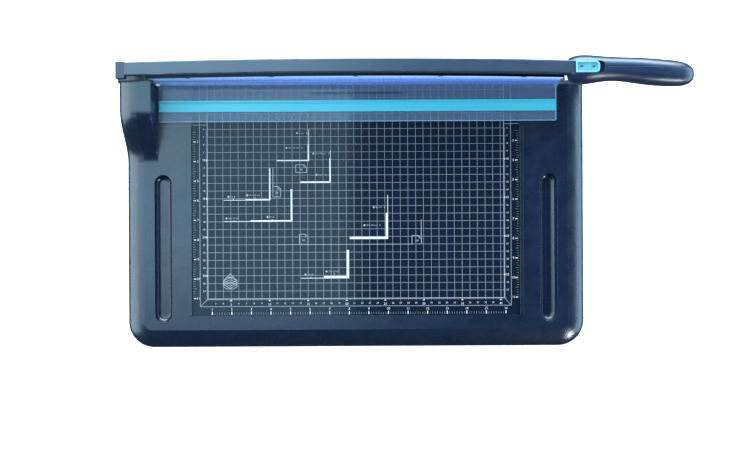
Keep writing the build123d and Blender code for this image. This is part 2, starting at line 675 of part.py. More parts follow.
def handle_shell():
    """Hollow grip with a solid block under the lock, pillars for its screws and all the
    room for arm, tang, lock slot and blade."""
    wide = (-FAR, FAR)
    under_slot = SLOT_FLOOR_Z - SLOT_FLOOR_SKIN
    hollow = handle_loft(HANDLE_WALL)
    hollow -= span((0, SLIDER_X[1] + LOCK_TRAVEL + HANDLE_WALL), wide, (under_slot, FAR))
    hollow -= span((0, SLIDER_X[0] + HANDLE_WALL), wide, wide)
    body = cut(handle_loft(0), [hollow])
    core = handle_loft(HANDLE_WALL - SPARE / 2)
    pillars = [rod("Y", (x, HANDLE_SCREW_Z), HANDLE_PILLAR_R, -50, 50) for x in HANDLE_SCREWS_X]
    body = fuse([body] + [common(pillar, core) for pillar in pillars])
    return cut(body, [
        span((ARM_LEFT_X, ARM_RIGHT_X), (ARM_FRONT_Y, ARM_REAR_Y), (HANDLE_SEAT_Z, FAR)),
        span((ARM_RIGHT_X - SPARE, TANG_X[1]), TANG_Y, TANG_Z),
        slot_cut(SLIDER_FIT, SLOT_FLOOR_Z, FAR, LOCK_TRAVEL),
        tongue_slot(),
        span((0, BLADE_RIGHT_X + SLIDER_FIT), (-SPARE, ARM_FRONT_Y + SPARE), (0, FAR)),
    ])


def handle_halves():
    """Front and rear shells; the screws go in from the rear."""
    body = handle_shell()
    for x in HANDLE_SCREWS_X:
        at = (x, HANDLE_SCREW_Z)
        body -= rod("Y", at, SCREW_R + RUN_FIT, SEAM_Y - HANDLE_SCREW_GRIP, HANDLE_HEAD_Y + SPARE)
        body -= rod("Y", at, HEAD_R + SCREW_FIT, HANDLE_HEAD_Y, FAR)
    front = common(body, span((0, FAR), (-FAR, SEAM_Y - SEAM_GAP), (0, FAR)))
    rear = common(body, span((0, FAR), (SEAM_Y + SEAM_GAP, FAR), (0, FAR)))
    return front, rear


def handle_screws():
    """Cross-head screws that hold the two shells together."""
    for x in HANDLE_SCREWS_X:
        at = (x, HANDLE_SCREW_Z)
        top = HANDLE_HEAD_Y + PAN_H
        head = rod("Y", at, HEAD_R, HANDLE_HEAD_Y, top)
        shank = rod("Y", at, SCREW_R, SEAM_Y - HANDLE_SCREW_GRIP + SPARE, HANDLE_HEAD_Y)
        yield cut(fuse([head, shank]), cross(x, top, HANDLE_SCREW_Z, HEAD_R))


def latch_tongue():
    """Steel strip under the slider, down through the tang to a hook."""
    y = (SLIDER_Y - TONGUE_T / 2, SLIDER_Y + TONGUE_T / 2)
    neck = SLIDER_LOW_Z + TONGUE_NECK
    strip = span(TONGUE_X, y, (HOOK_Z[0], neck))
    hook = span((TONGUE_X[0], TONGUE_X[1] + HOOK_REACH), y, HOOK_Z)
    tall, overhang = TONGUE_HEAD
    across = (y[0] - overhang, y[1] + overhang)
    head = span((TONGUE_X[0] + SPARE, TONGUE_X[1] - SPARE), across, (neck, neck + tall))
    return fuse([strip, hook, head])


def lock_slider():
    """Thumb slider: raised rim round a sunken panel with two dimples and fine ribs."""
    body = slot_cut(0, SLIDER_LOW_Z, SLIDER_TOP_Z, 0)
    body = chamfer(body.faces().sort_by(Axis.Z)[-1].edges(), SLIDER_EDGE)
    x0, x1 = SLIDER_X[0] + RIM_W, SLIDER_X[1] - RIM_W
    half = SLIDER_W / 2 - RIM_W
    floor = SLIDER_TOP_Z - PANEL_DEPTH
    panel = span((x0, x1), (SLIDER_Y - half, SLIDER_Y + half), (floor, SLIDER_TOP_Z + SPARE))
    body -= fillet(panel.edges().filter_by(Axis.Z).group_by(Axis.X)[-1], SLIDER_R - RIM_W)
    middle = (x0 + x1) / 2
    for side in (-1, 1):
        body -= Pos(middle + side * DIMPLE_X, SLIDER_Y, SLIDER_TOP_Z + DIMPLE_RISE) * Sphere(DIMPLE_R)
    for index in range(-2, 3):
        x = middle + index * RIB_PITCH
        body += span((x - RIB_W / 2, x + RIB_W / 2), (SLIDER_Y - half + SPARE, SLIDER_Y + half - SPARE),
                     (floor - SLIDER_FIT, floor + RIB_W))
    room = (LEAF_W + 2 * TONGUE_PLAY) / 2
    leaf_top = SLIDER_LOW_Z + LEAF_RISE + LEAF_T
    body -= span((LEAF_X[0] - LOCK_TRAVEL - TONGUE_PLAY, LEAF_X[1] + TONGUE_PLAY),
                 (SLIDER_Y - room, SLIDER_Y + room), (SLIDER_LOW_Z - SPARE, leaf_top))
    return cut(body, [latch_tongue()])


def detent_spring():
    """Bowed leaf on the slot floor that holds the slider at either end."""
    x0, x1 = LEAF_X
    mid = (x0 + x1) / 2
    y = SLIDER_Y - LEAF_W / 2
    low, high = SLOT_FLOOR_Z, SLOT_FLOOR_Z + LEAF_RISE
    outer = ThreePointArc((x0, y, low), (mid, y, high), (x1, y, low))
    inner = ThreePointArc((x1 - SPARE, y, low), (mid, y, high - LEAF_T), (x0 + SPARE, y, low))
    face = Face(Wire([outer, Line(outer @ 1, inner @ 0), inner, Line(inner @ 1, outer @ 0)]))
    return extrude(face, amount=LEAF_W, dir=(0, 1, 0))


def catch_plate():
    """Steel angle on the tray's rear wall: a tab for the latch hook and one for the buffer."""
    y_face = REAR_WALL_Y + CATCH_FLANGE_T
    flange = span(CATCH_X, (REAR_WALL_Y, y_face), (SKIRT_Z + CATCH_RIM_Z, CATCH_Z[1]))
    shelf = span(CATCH_X, (y_face, CATCH_REAR_Y), CATCH_Z)
    rest = span((BUFFER_TAB[0], CATCH_X[0]), (BUFFER_TAB[1], CATCH_REAR_Y), CATCH_Z)
    gap = span(CATCH_GAP_X, (y_face + CATCH_FLANGE_T, FAR), (0, FAR))
    body = fuse([flange, shelf, rest]) - gap
    for x in CATCH_SCREWS_X:
        body -= rod("Y", (x, CATCH_SCREW_Z), CATCH_SCREW_R + SCREW_FIT, REAR_WALL_Y - SPARE, y_face + SPARE)
    return body - rod("Z", (BUFFER_X, SLIDER_Y), BUFFER_STEM_R + RUN_FIT, 0, BED_Z)


def catch_screws():
    """Slotted screws that hold the catch plate on the rear wall."""
    y = REAR_WALL_Y + CATCH_FLANGE_T
    top = y + HEAD_H
    for x in CATCH_SCREWS_X:
        at = (x, CATCH_SCREW_Z)
        body = fuse([rod("Y", at, 2 * CATCH_SCREW_R, y, top), rod("Y", at, CATCH_SCREW_R, y - BORE_DEPTH, y)])
        yield body - Pos(x, top, CATCH_SCREW_Z) * Box(2 * HEAD_R, HEAD_H, DRIVE_W)


def arm_buffer():
    """Rubber stop that the lowered arm rests on, with its stem through the tab."""
    at = (BUFFER_X, SLIDER_Y)
    top = arch_z(BUFFER_X + BUFFER_R, ARM_DEPTH) - RUN_FIT
    stem = rod("Z", at, BUFFER_STEM_R, CATCH_Z[0] - BUFFER_STEM_R, CATCH_Z[1])
    return fuse([rod("Z", at, BUFFER_R, CATCH_Z[1], top), stem])


# ---------------------------------------------------------------- guard
def guard_wall():
    """Upstanding wall along the rear of the guard, leaning back, with a filled inner bend."""
    low, high = GUARD_Z
    wall_t = high - low
    foot_y = GUARD_BEND_Y - wall_t
    profile = [
        (GUARD_BEND_Y - SPARE, low), (GUARD_BEND_Y + wall_t * 0.4, low),
        (GUARD_WALL_TOP_Y, GUARD_WALL_TOP_Z), (GUARD_WALL_TOP_Y - wall_t, GUARD_WALL_TOP_Z),
        (foot_y, high + BEND_FILL), (foot_y - BEND_FILL, high),
    ]
    face = make_face(Polyline(*[(GUARD_X[0], y, z) for y, z in profile], close=True))
    return extrude(face, amount=GUARD_X[1] - GUARD_X[0], dir=(1, 0, 0))


def guard_shield():
    """Clear guard: a plate over the paper, an upstanding wall along the cut, two pegs."""
    plate = span(GUARD_X, (GUARD_FRONT_Y, GUARD_BEND_Y), GUARD_Z)
    plate = fillet(plate.edges().filter_by(Axis.Z).group_by(Axis.Y)[0], GUARD_CORNER_R)
    pegs = [rod("Z", (x, PEG_Y), PEG_R, PEG_LOW_Z, GUARD_Z[0] + STRIP_T / 2) for x in PEG_X]
    body = fuse([plate, guard_wall()] + pegs)
    for x in PEG_X:
        neck = rod("Z", (x, PEG_Y), PEG_GROOVE_R, 0, FAR)
        body -= rod("Z", (x, PEG_Y), PEG_R + SPARE, *RING_Z) - neck
    return body


def grip_strip():
    """Coloured press strip on the guard, with a low bead along its rear edge."""
    x = (GUARD_X[0] + STRIP_END_GAP, GUARD_X[1] - STRIP_END_GAP)
    top = GUARD_Z[1] + STRIP_T
    body = span(x, STRIP_Y, (GUARD_Z[1], top))
    bead = rod("X", (STRIP_Y[1] - STRIP_BEAD_INSET, top), STRIP_BEAD_R, x[0] + SPARE, x[1] - SPARE)
    return fuse([body, common(bead, span(x, STRIP_Y, (GUARD_Z[1] + RUN_FIT, FAR)))])


def guard_springs():
    """Light coil springs round the pegs, between the well floors and the guard."""
    height = GUARD_Z[0] - WELL_FLOOR_Z - 2 * (SPRING_WIRE_R + SCREW_FIT)
    coil = Helix(pitch=height / SPRING_TURNS, height=height, radius=SPRING_COIL_R)
    section = Plane(origin=coil @ 0, z_dir=coil % 0) * Circle(SPRING_WIRE_R)
    body = sweep(section, path=coil, is_frenet=True)
    for x in PEG_X:
        yield Pos(x, PEG_Y, WELL_FLOOR_Z + SPRING_WIRE_R + SCREW_FIT) * body


def peg_rings():
    """Open retaining rings in the pegs' grooves, under the well floors."""
    for x in PEG_X:
        ring = rod("Z", (x, PEG_Y), RING_R, *RING_Z) - rod("Z", (x, PEG_Y), PEG_GROOVE_R, 0, FAR)
        yield ring - span((x - RING_GAP, x + RING_GAP), (PEG_Y - 2 * RING_R, PEG_Y), (0, FAR))


def foot(x, y):
    """Round rubber foot, its lower rim rounded."""
    body = rod("Z", (x, y), FOOT_R, 0, FOOT_SEAT_Z)
    return fillet(body.edges().group_by(Axis.Z)[0], FOOT_EDGE_R)


# ---------------------------------------------------------------- write the nodes
os.makedirs("parts", exist_ok=True)
save("base_tray", base_tray())
save("printed_mat", printed_mat())
save("lower_blade", lower_blade())
save("lower_blade_screws", *lower_blade_screws())
save("bed_rail", bed_rail())
save("pivot_bracket", pivot_bracket())
save("bracket_screws", *bracket_screws())
save("pivot_bolt", pivot_bolt())
save("disc_springs", *disc_springs())
save("pivot_spacer", ring_y(SPACER_R, BOLT_R + SCREW_FIT, REAR_WALL_Y, ARM_FRONT_Y - SPACER_FIT))
save("pivot_washer", ring_y(WASHER_R, BOLT_THREAD_R + SCREW_FIT, WASHER_Y - WASHER_T, WASHER_Y))
save("pivot_nut", pivot_nut())
save("catch_plate", catch_plate())
save("catch_screws", *catch_screws())
save("arm_buffer", arm_buffer())
for name, place in FEET.items():
    save(f"foot_{name}", foot(*place))

save("arm_beam", arm_beam())
save("arm_end_cap", arm_end_cap())
save("pivot_bush", ring_y(BUSH_R, BOLT_R + RUN_FIT, ARM_FRONT_Y, HEAD_SEAT_Y))
save("upper_blade", upper_blade())
save("upper_blade_screws", *upper_blade_screws())
handle_front, handle_rear = handle_halves()
save("handle_front", handle_front)
save("handle_rear", handle_rear)
save("handle_screws", *handle_screws())
save("detent_spring", detent_spring())

save("lock_slider", lock_slider())
save("latch_tongue", latch_tongue())

save("guard_shield", guard_shield())
save("grip_strip", grip_strip())
save("guard_springs", *guard_springs())
save("peg_rings", *peg_rings())
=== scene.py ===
import json
import math

import bmesh
import bpy
from mathutils import Matrix, Vector


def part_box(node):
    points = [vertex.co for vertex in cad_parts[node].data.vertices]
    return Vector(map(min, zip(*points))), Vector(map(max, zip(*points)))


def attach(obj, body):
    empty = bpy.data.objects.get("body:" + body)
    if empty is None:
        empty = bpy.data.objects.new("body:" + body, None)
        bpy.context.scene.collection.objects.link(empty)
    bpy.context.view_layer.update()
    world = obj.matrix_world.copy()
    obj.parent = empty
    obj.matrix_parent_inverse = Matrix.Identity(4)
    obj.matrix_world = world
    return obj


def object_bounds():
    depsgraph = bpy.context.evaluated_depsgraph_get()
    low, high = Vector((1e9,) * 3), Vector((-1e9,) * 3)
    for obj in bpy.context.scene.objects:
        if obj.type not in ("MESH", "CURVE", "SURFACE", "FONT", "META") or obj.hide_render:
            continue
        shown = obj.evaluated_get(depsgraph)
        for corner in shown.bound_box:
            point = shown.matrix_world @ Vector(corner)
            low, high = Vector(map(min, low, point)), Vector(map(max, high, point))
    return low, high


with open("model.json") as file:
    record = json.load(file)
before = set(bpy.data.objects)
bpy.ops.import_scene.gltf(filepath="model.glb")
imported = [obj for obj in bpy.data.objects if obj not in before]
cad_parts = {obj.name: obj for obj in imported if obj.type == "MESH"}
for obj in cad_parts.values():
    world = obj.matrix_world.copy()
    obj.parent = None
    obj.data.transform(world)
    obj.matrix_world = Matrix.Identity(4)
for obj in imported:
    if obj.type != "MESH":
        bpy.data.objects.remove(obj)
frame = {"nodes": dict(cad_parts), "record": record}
cad_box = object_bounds()
nodes = frame["nodes"]

# Lengths below are in metres, like the frame.  MM turns the object's own millimetres into them.
MM = 0.001
mat_low, mat_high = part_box("printed_mat")
guard_low, guard_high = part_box("guard_shield")
STRIP_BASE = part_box("grip_strip")[0].z
SLIDER_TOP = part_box("lock_slider")[1].z
MAT_LEFT = mat_low.x
MAT_TOP = mat_high.z
MAT_WIDTH = mat_high.x - mat_low.x
CUT_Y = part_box("lower_blade")[1].y
MAT_DEPTH = CUT_Y - mat_low.y
MIDDLE_X = (mat_low.x + mat_high.x) / 2
ARCH_MIDDLE = -76.5 * MM     # where the arm's arch is highest
ARCH_RADIUS = 1.87
BLADE_RIM = 77.5 * MM        # height of the upper blade's rim there


# ---------------------------------------------------------------- material helpers
def new_material(name, color, roughness, metallic=0.0):
    """A Principled material and its tree; color is linear."""
    material = bpy.data.materials.new(name)
    material.use_nodes = True
    tree = material.node_tree
    bsdf = tree.nodes["Principled BSDF"]
    bsdf.inputs["Base Color"].default_value = (*color, 1)
    bsdf.inputs["Roughness"].default_value = roughness
    bsdf.inputs["Metallic"].default_value = metallic
    return material, tree, bsdf


def place(tree, stretch=(1, 1, 1)):
    """Object coordinates, stretched along chosen axes."""
    coords = tree.nodes.new("ShaderNodeTexCoord")
    mapping = tree.nodes.new("ShaderNodeMapping")
    mapping.inputs["Scale"].default_value = stretch
    tree.links.new(coords.outputs["Object"], mapping.inputs["Vector"])
    return mapping.outputs["Vector"]


def noise(tree, vector, scale, detail=3.0, rough=0.5):
    """Noise factor on given coordinates."""
    node = tree.nodes.new("ShaderNodeTexNoise")
    node.inputs["Scale"].default_value = scale
    node.inputs["Detail"].default_value = detail
    node.inputs["Roughness"].default_value = rough
    tree.links.new(vector, node.inputs["Vector"])
    return node.outputs["Fac"]


def between(tree, factor, low, high, start=0.0, end=1.0):
    """Maps a factor to a range of numbers."""
    node = tree.nodes.new("ShaderNodeMapRange")
    node.inputs["From Min"].default_value = start
    node.inputs["From Max"].default_value = end
    node.inputs["To Min"].default_value = low
    node.inputs["To Max"].default_value = high
    tree.links.new(factor, node.inputs["Value"])
    return node.outputs["Result"]


def blend_colors(tree, factor, first, second):
    """Mixes two linear colours by a factor."""
    node = tree.nodes.new("ShaderNodeMix")
    node.data_type = "RGBA"
    tree.links.new(factor, node.inputs["Factor"])
    for socket, value in (("A", first), ("B", second)):
        target = next(s for s in node.inputs if s.name == socket and s.type == "RGBA")
        if isinstance(value, tuple):
            target.default_value = (*value, 1)
        else:
            tree.links.new(value, target)
    return next(s for s in node.outputs if s.type == "RGBA")


def add_bump(tree, bsdf, height, strength, distance, before=None):
    """Bump on the shader's normal, over another normal if there is one."""
    node = tree.nodes.new("ShaderNodeBump")
    node.inputs["Strength"].default_value = strength
    node.inputs["Distance"].default_value = distance
    tree.links.new(height, node.inputs["Height"])
    if before is not None:
        tree.links.new(before, node.inputs["Normal"])
    tree.links.new(node.outputs["Normal"], bsdf.inputs["Normal"])


def arithmetic(tree, operation, first, second):
    """Math node on two values, each a socket or a number."""
    node = tree.nodes.new("ShaderNodeMath")
    node.operation = operation
    for value, socket in zip((first, second), node.inputs):
        if isinstance(value, float):
            socket.default_value = value
        else:
            tree.links.new(value, socket)
    return node.outputs[0]


def beyond(tree, value, limit, sign=1):
    """1 where a coordinate is past a limit, otherwise 0; sign -1 looks the other way."""
    return arithmetic(tree, "GREATER_THAN" if sign > 0 else "LESS_THAN", value, limit)


def larger(tree, first, second):
    """The larger of two sockets."""
    return arithmetic(tree, "MAXIMUM", first, second)


def object_axes(tree):
    """Object X, Y and Z as sockets."""
    coords = tree.nodes.new("ShaderNodeTexCoord")
    split = tree.nodes.new("ShaderNodeSeparateXYZ")
    tree.links.new(coords.outputs["Object"], split.inputs["Vector"])
    return split.outputs


def soft_edges(tree, radius):
    """A normal that rounds the piece's sharp edges a little, as a mould or a deburring does."""
    node = tree.nodes.new("ShaderNodeBevel")
    node.samples = 4
    node.inputs["Radius"].default_value = radius
    return node.outputs["Normal"]


def scaled(color, factor):
    """A linear colour made darker or lighter."""
    return tuple(c * factor for c in color)


# ---------------------------------------------------------------- materials
def moulded(name, color, roughness, grain=0.35, edge=0.5 * MM):
    """Satin moulding: spark-eroded grain, slow tone drift, faint rubbed patches."""
    material, tree, bsdf = new_material(name, color, roughness)
    bsdf.inputs["Specular IOR Level"].default_value = 0.95
    flat = place(tree)
    drift = noise(tree, flat, 9.0, 4.0)
    fine = noise(tree, flat, 1500.0, 2.0)
    rubbed = noise(tree, flat, 38.0, 5.0, 0.65)
    tone = blend_colors(tree, drift, scaled(color, 0.86), scaled(color, 1.16))
    tree.links.new(tone, bsdf.inputs["Base Color"])
    gloss = between(tree, rubbed, roughness - 0.05, roughness + 0.07, 0.3, 0.7)
    tree.links.new(gloss, bsdf.inputs["Roughness"])
    add_bump(tree, bsdf, fine, grain, 0.06 * MM, soft_edges(tree, edge))
    return material


def laminate():
    """Glossy film over the navy print: near mirror-smooth, with hairline scuffs."""
    color = (0.008, 0.012, 0.028)
    material, tree, bsdf = new_material("mat_laminate", color, 0.1)
    flat = place(tree)
    tone = blend_colors(tree, noise(tree, flat, 7.0, 3.0), scaled(color, 0.9), scaled(color, 1.12))
    tree.links.new(tone, bsdf.inputs["Base Color"])
    hair = noise(tree, place(tree, (60, 2200, 1)), 1.0, 4.0, 0.7)
    tree.links.new(between(tree, hair, 0.07, 0.17, 0.35, 0.75), bsdf.inputs["Roughness"])
    waviness = noise(tree, flat, 14.0, 2.0)
    add_bump(tree, bsdf, waviness, 0.08, 0.25 * MM, soft_edges(tree, 0.3 * MM))
    bsdf.inputs["Specular IOR Level"].default_value = 0.32
    return material


def steel(name, color, roughness, stretch, edge=0.3 * MM):
    """Bare or plated steel with grinding marks along one direction."""
    material, tree, bsdf = new_material(name, color, roughness, 1.0)
    marks = noise(tree, place(tree, stretch), 1.0, 6.0, 0.7)
    cloud = noise(tree, place(tree), 26.0, 4.0)
    tone = blend_colors(tree, cloud, scaled(color, 0.82), scaled(color, 1.1))
    tree.links.new(tone, bsdf.inputs["Base Color"])
    gloss = between(tree, marks, roughness - 0.08, roughness + 0.14, 0.3, 0.7)
    tree.links.new(gloss, bsdf.inputs["Roughness"])
    bsdf.inputs["Anisotropic"].default_value = 0.5
    add_bump(tree, bsdf, marks, 0.25, 0.04 * MM, soft_edges(tree, edge))
    return material


def blade_steel():
    """Ground steel, blued dark above the cutting zone; there the front face is lacquered
    violet blue and glows as painted light, more weakly toward the left, with a painted highlight paler
    under the arched rim."""
    material = steel("blade_steel", (0.5, 0.53, 0.57), 0.28, (1400, 1400, 12))
    tree = material.node_tree
    bsdf = tree.nodes["Principled BSDF"]
    bright = bsdf.inputs["Base Color"].links[0].from_socket
    x, y, z = object_axes(tree)
    aside = arithmetic(tree, "SUBTRACT", x, ARCH_MIDDLE)
    sag = arithmetic(tree, "DIVIDE", arithmetic(tree, "MULTIPLY", aside, aside), 2 * ARCH_RADIUS)
    level = arithmetic(tree, "ADD", z, sag)
    upper = between(tree, z, 0.0, 1.0, MAT_TOP + 2 * MM, MAT_TOP + 5 * MM)
    front = arithmetic(tree, "MULTIPLY", beyond(tree, y, CUT_Y + 1 * MM, -1),
                       beyond(tree, level, BLADE_RIM - 0.8 * MM, -1))
    lacquer_and_glow = arithmetic(tree, "MULTIPLY", upper, front)
    # Painted highlight: the lacquer turns paler toward the arched rim.
    pale = between(tree, level, 0.0, 1.0, BLADE_RIM - 26 * MM, BLADE_RIM - 8 * MM)
    tone = blend_colors(tree, pale, (0.17, 0.33, 0.88), (0.42, 0.64, 1.0))
    blued = blend_colors(tree, upper, bright, (0.02, 0.034, 0.06))
    tone = blend_colors(tree, lacquer_and_glow, blued, tone)
    tree.links.new(tone, bsdf.inputs["Base Color"])
    tree.links.new(between(tree, lacquer_and_glow, 1.0, 0.1), bsdf.inputs["Metallic"])
    # Painted glow: the lacquered front emits its own colour, weaker toward the left.
    tree.links.new(tone, bsdf.inputs["Emission Color"])
    fade = between(tree, x, 0.2, 0.48, -0.30, -0.10)
    tree.links.new(arithmetic(tree, "MULTIPLY", lacquer_and_glow, fade), bsdf.inputs["Emission Strength"])
    return material


def powder_coat():
    """Satin paint on the arm: fine orange peel over a slate navy."""
    color = (0.03, 0.047, 0.08)
    material, tree, bsdf = new_material("arm_coat", color, 0.36)
    bsdf.inputs["Specular IOR Level"].default_value = 0.95
    flat = place(tree)
    tone = blend_colors(tree, noise(tree, flat, 12.0, 4.0), scaled(color, 0.88), scaled(color, 1.15))
    tree.links.new(tone, bsdf.inputs["Base Color"])
    gloss = between(tree, noise(tree, flat, 60.0, 5.0), 0.32, 0.42, 0.3, 0.7)
    tree.links.new(gloss, bsdf.inputs["Roughness"])
    add_bump(tree, bsdf, noise(tree, flat, 700.0, 2.0), 0.25, 0.08 * MM, soft_edges(tree, 0.8 * MM))
    bsdf.inputs["Coat Weight"].default_value = 0.25
    bsdf.inputs["Coat Roughness"].default_value = 0.25
    return material


def clear_acrylic():
    """Clear blue-tinted guard whose front edge and right end carry a painted highlight, paler and more
    opaque, and a denser upstanding wall.
    """
    material, tree, bsdf = new_material("clear_acrylic", (0.2, 0.36, 0.6), 0.06)
    x, y, z = object_axes(tree)
    rim = 0.7 * MM
    # Painted highlight: a thin pale band along the front edge and the right end.
    edges = larger(tree, beyond(tree, y, guard_low.y + rim, -1), beyond(tree, x, guard_high.x - rim))
    wall = between(tree, z, 0.0, 1.0, STRIP_BASE, STRIP_BASE + 3 * MM)
    sheet = blend_colors(tree, noise(tree, place(tree, (20, 160, 160)), 1.0, 3.0),
                         (0.23, 0.33, 0.5), (0.29, 0.38, 0.55))
    tone = blend_colors(tree, edges, sheet, (0.5, 0.66, 0.8))
    tone = blend_colors(tree, wall, tone, (0.2, 0.36, 0.8))
    tree.links.new(tone, bsdf.inputs["Base Color"])
    solid = larger(tree, between(tree, edges, 0.26, 0.75), between(tree, wall, 0.26, 0.4))
    tree.links.new(solid, bsdf.inputs["Alpha"])
    bsdf.inputs["IOR"].default_value = 1.7
    scuffs = noise(tree, place(tree, (90, 900, 400)), 1.0, 5.0, 0.7)
    tree.links.new(between(tree, scuffs, 0.04, 0.14, 0.45, 0.8), bsdf.inputs["Roughness"])
    return material


def bright_plastic(name, color, deep, roughness, shade_heights=None):
    """Cyan moulding: saturated, slightly translucent, with a gentle flow pattern; when two
    heights are given, painted shade darkens it towards the lower one, as in hollows."""
    material, tree, bsdf = new_material(name, color, roughness)
    flow = noise(tree, place(tree, (6, 60, 60)), 1.0, 3.0)
    tone = blend_colors(tree, flow, deep, color)
    # Painted shade in the hollows: darker towards the lower height.
    if shade_heights:
        raised = between(tree, object_axes(tree)[2], 0.0, 1.0, *shade_heights)
        tone = blend_colors(tree, raised, scaled(deep, 0.35), tone)
    tree.links.new(tone, bsdf.inputs["Base Color"])
    bsdf.inputs["Subsurface Weight"].default_value = 0.1
    bsdf.inputs["Subsurface Radius"].default_value = (0.3 * MM, 0.8 * MM, 1.0 * MM)
    add_bump(tree, bsdf, noise(tree, place(tree), 900.0, 2.0), 0.12, 0.05 * MM, soft_edges(tree, 0.35 * MM))
    return material


def rubber():
    """Matt dark rubber with a rough skin."""
    color = (0.018, 0.018, 0.02)
    material, tree, bsdf = new_material("foot_rubber", color, 0.8)
    flat = place(tree)
    tone = blend_colors(tree, noise(tree, flat, 60.0, 4.0), scaled(color, 0.8), scaled(color, 1.5))
    tree.links.new(tone, bsdf.inputs["Base Color"])
    add_bump(tree, bsdf, noise(tree, flat, 420.0, 4.0), 0.5, 0.15 * MM, soft_edges(tree, 0.4 * MM))
    return material


def brass():
    """Turned brass."""
    color = (0.62, 0.45, 0.2)
    material, tree, bsdf = new_material("bush_brass", color, 0.3, 1.0)
    turned = noise(tree, place(tree, (300, 2500, 300)), 1.0, 3.0)
    tree.links.new(blend_colors(tree, turned, scaled(color, 0.8), color), bsdf.inputs["Base Color"])
    add_bump(tree, bsdf, turned, 0.2, 0.03 * MM)
    return material


def ink(name, color, roughness=0.22):
    """Printed ink under the laminate, slightly uneven as screen print is."""
    material, tree, bsdf = new_material(name, color, roughness)
    patch = noise(tree, place(tree), 240.0, 4.0, 0.7)
    tree.links.new(blend_colors(tree, patch, scaled(color, 0.78), color), bsdf.inputs["Base Color"])
    return material


# ---------------------------------------------------------------- dress the CAD nodes
NAVY = (0.005, 0.011, 0.034)
SLOT_MATERIALS = {
    "tray_plastic": moulded("tray_moulding", NAVY, 0.27, 0.35, 0.8 * MM),
    "mat_print": laminate(),
    "blade_steel": blade_steel(),
    "zinc_steel": steel("zinc_plate", (0.46, 0.49, 0.52), 0.36, (500, 500, 90)),
    "spring_steel": steel("spring_steel", (0.4, 0.42, 0.45), 0.25, (900, 900, 900)),
    "arm_paint": powder_coat(),
    "cap_plastic": moulded("cap_moulding", scaled(NAVY, 1.7), 0.4),
    "nylon": moulded("black_nylon", (0.012, 0.014, 0.018), 0.45, 0.2),
    "bush_brass": brass(),
    "rubber": rubber(),
    "handle_plastic": moulded("handle_moulding", scaled(NAVY, 1.75), 0.33, 0.3),
    # The two heights set painted shade in the slider's hollows.
    "cyan_plastic": bright_plastic("cyan_moulding", (0.28, 0.68, 0.76), (0.2, 0.58, 0.7), 0.25,
                                   (SLIDER_TOP - 2.4 * MM, SLIDER_TOP - 0.4 * MM)),
    "clear_plastic": clear_acrylic(),
    "strip_plastic": bright_plastic("strip_moulding", (0.13, 0.66, 0.74), (0.09, 0.56, 0.68), 0.2),
}
for entry in frame["record"]["subparts"]:
    node = nodes[entry["node"]]
    material = SLOT_MATERIALS[entry["material_slot"]]
    if not node.material_slots:
        node.data.materials.append(material)
    for slot in node.material_slots:
        slot.material = material


# ---------------------------------------------------------------- printed marks
class Print:
    """Collects thin raised ink shapes on a flat surface into one mesh."""

    def __init__(self, left, rear, top, height=0.05 * MM):
        self.mesh = bmesh.new()
        self.left, self.rear, self.top, self.height = left, rear, top, height

    def outline(self, points):
        """Prism over a closed outline; x runs right from left, y runs forward from rear."""
        spots = [(self.left + x * MM, self.rear - y * MM) for x, y in points]
        low = [self.mesh.verts.new((x, y, self.top - self.height * 0.2)) for x, y in spots]
        high = [self.mesh.verts.new((x, y, self.top + self.height)) for x, y in spots]
        self.mesh.faces.new(high)
        self.mesh.faces.new(list(reversed(low)))
        count = len(points)
        for i in range(count):
            j = (i + 1) % count
            self.mesh.faces.new((low[i], low[j], high[j], high[i]))

    def bar(self, x0, y0, x1, y1):
        """Upright rectangle between two opposite corners."""
        self.outline([(x0, y0), (x1, y0), (x1, y1), (x0, y1)])

    def line(self, start, end, width):
        """Straight stroke from start to end."""
        (x0, y0), (x1, y1) = start, end
        length = math.hypot(x1 - x0, y1 - y0)
        nx, ny = -(y1 - y0) / length * width / 2, (x1 - x0) / length * width / 2
        self.outline([(x0 + nx, y0 + ny), (x1 + nx, y1 + ny), (x1 - nx, y1 - ny), (x0 - nx, y0 - ny)])

    def stroke(self, points, width, closed=False):
        """Straight strokes from point to point."""
        pairs = list(zip(points, points[1:]))
        if closed:
            pairs.append((points[-1], points[0]))
        for start, end in pairs:
            self.line(start, end, width)

    def text(self, words, x, y, size, turn=0.0, align="CENTER"):
        """Numerals or short size labels as flat solid letters."""
        curve = bpy.data.curves.new("letters", "FONT")
        curve.body, curve.size = words, size * MM
        curve.align_x, curve.align_y = align, "CENTER"
        curve.extrude, curve.resolution_u = self.height / 2, 2
        holder = bpy.data.objects.new("letters", curve)
        bpy.context.scene.collection.objects.link(holder)
        bpy.context.view_layer.update()
        solved = holder.evaluated_get(bpy.context.evaluated_depsgraph_get())
        letters = bpy.data.meshes.new_from_object(solved)
        spot = Vector((self.left + x * MM, self.rear - y * MM, self.top + self.height / 2))
        letters.transform(Matrix.Translation(spot) @ Matrix.Rotation(turn, 4, "Z"))
        self.mesh.from_mesh(letters)
        bpy.data.objects.remove(holder)
        bpy.data.curves.remove(curve)
        bpy.data.meshes.remove(letters)

    def finish(self, name, material, body, slot):
        """Turns the shapes into one piece that rides on a body."""
        bmesh.ops.recalc_face_normals(self.mesh, faces=self.mesh.faces)
        data = bpy.data.meshes.new(name)
        self.mesh.to_mesh(data)
        self.mesh.free()
        data.materials.clear()
        data.materials.append(material)
        for polygon in data.polygons:
            polygon.material_index = 0
        piece = bpy.data.objects.new(name, data)
        bpy.context.scene.collection.objects.link(piece)
        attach(piece, body)


